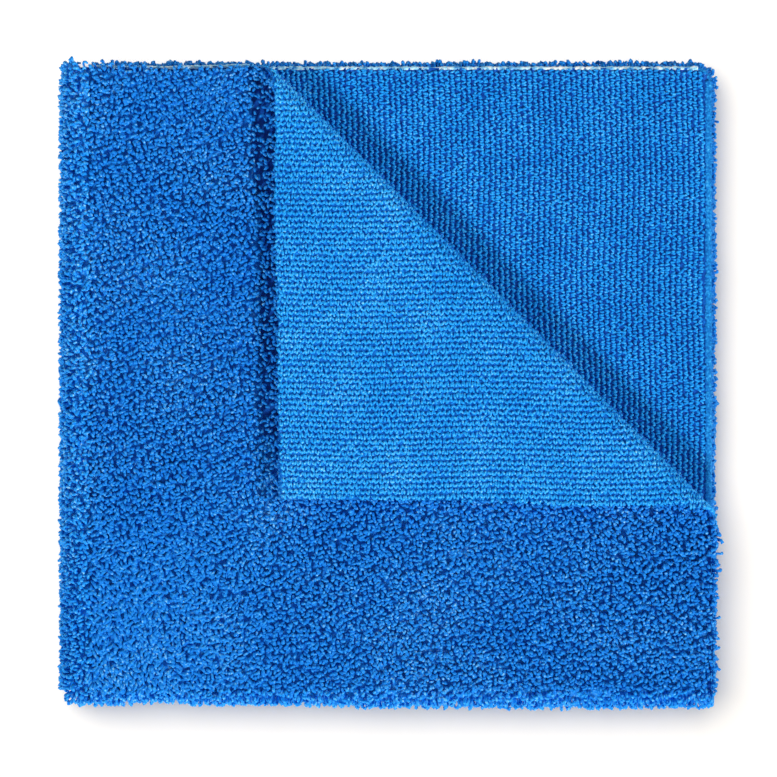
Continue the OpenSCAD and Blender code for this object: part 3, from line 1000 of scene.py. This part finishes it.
flap_edge = make("flap_sealed_edge_bead", bead(rng, flap_edge_path(), 0.45, 0.36, 0.32), PAINTED_LIGHT_RIB,
                 "turned_corner", ["flap_sealed_edge"])

# ---------------------------------------------------------------- moving cloth
# The change of body is abrupt and the cloth has no vertex in it, so an open fold is bridged flat
# instead of arching over its hinge. Only the few yarns that bridge the crease reach through it.
for ob in (side_cloth, side_plush, side_inner, side_crushed, side_rib):
    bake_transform(ob)
for ob in (crease_cloth, crease_plush, crease_crushed, crease_rib):
    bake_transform(ob)

# ---------------------------------------------------------------- studio


def paper_floor(half=6.0, z=-0.0002):
    """A plain floor, warm enough to even out the blue that the cloth throws on it."""
    me = bpy.data.meshes.new("floor")
    corners = [(-half, -half, z), (half, -half, z), (half, half, z), (-half, half, z)]
    me.from_pydata(corners, [], [(0, 1, 2, 3)])
    ob = bpy.data.objects.new("floor", me)
    bpy.context.scene.collection.objects.link(ob)
    ob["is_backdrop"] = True
    mat = bpy.data.materials.new("paper")
    mat.use_nodes = True
    bsdf = mat.node_tree.nodes["Principled BSDF"]
    bsdf.inputs["Base Color"].default_value = (0.945, 0.90, 0.83, 1)
    bsdf.inputs["Roughness"].default_value = 0.9
    bsdf.inputs["Specular IOR Level"].default_value = 0.0
    me.materials.append(mat)
    return ob


def white_world(strength):
    world = bpy.data.worlds.new("studio")
    bpy.context.scene.world = world
    world.use_nodes = True
    background = world.node_tree.nodes["Background"]
    background.inputs["Color"].default_value = (1, 1, 1, 1)
    background.inputs["Strength"].default_value = strength


def sun(name, strength, angle, direction, receivers):
    """A soft light that reaches only its receivers."""
    data = bpy.data.lights.new(name, "SUN")
    data.energy = strength
    data.angle = math.radians(angle)
    ob = bpy.data.objects.new(name, data)
    ob.rotation_mode = "QUATERNION"
    ob.rotation_quaternion = Vector(direction).to_track_quat("-Z", "Y")
    bpy.context.scene.collection.objects.link(ob)
    lit = bpy.data.collections.new(name + "_receivers")
    for receiver in receivers:
        lit.objects.link(receiver)
    ob.light_linking.receiver_collection = lit


def camera_above(view_width, lens, sensor, y, target_z):
    """Looks straight down from far enough away to see view_width."""
    data = bpy.data.cameras.new("camera")
    data.lens, data.sensor_width = lens, sensor
    data.clip_start, data.clip_end = 0.01, 50
    ob = bpy.data.objects.new("camera", data)
    bpy.context.scene.collection.objects.link(ob)
    ob.location = (0.0, y, target_z + view_width * lens / sensor)
    ob.rotation_euler = (0, 0, 0)
    bpy.context.scene.camera = ob


PIXEL, FRAME = 0.314, 777  # millimetres of the object in a pixel, and pixels in the frame
floor = paper_floor()
white_world(0.30)
sun("key", 2.35, 12, (0.40, 0.68, -0.58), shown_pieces())
sun("fill", 2.05, 12, (-0.82, 0.10, -0.56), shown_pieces())
sun("floor_light", 3.38, 66, (0.27, -0.24, -0.93), [floor])
camera_above(view_width=PIXEL * FRAME * MM, lens=180, sensor=36, y=-0.0016, target_z=0.017)
bpy.context.scene.view_settings.view_transform = "Standard"
bpy.context.scene.view_settings.look = "None"
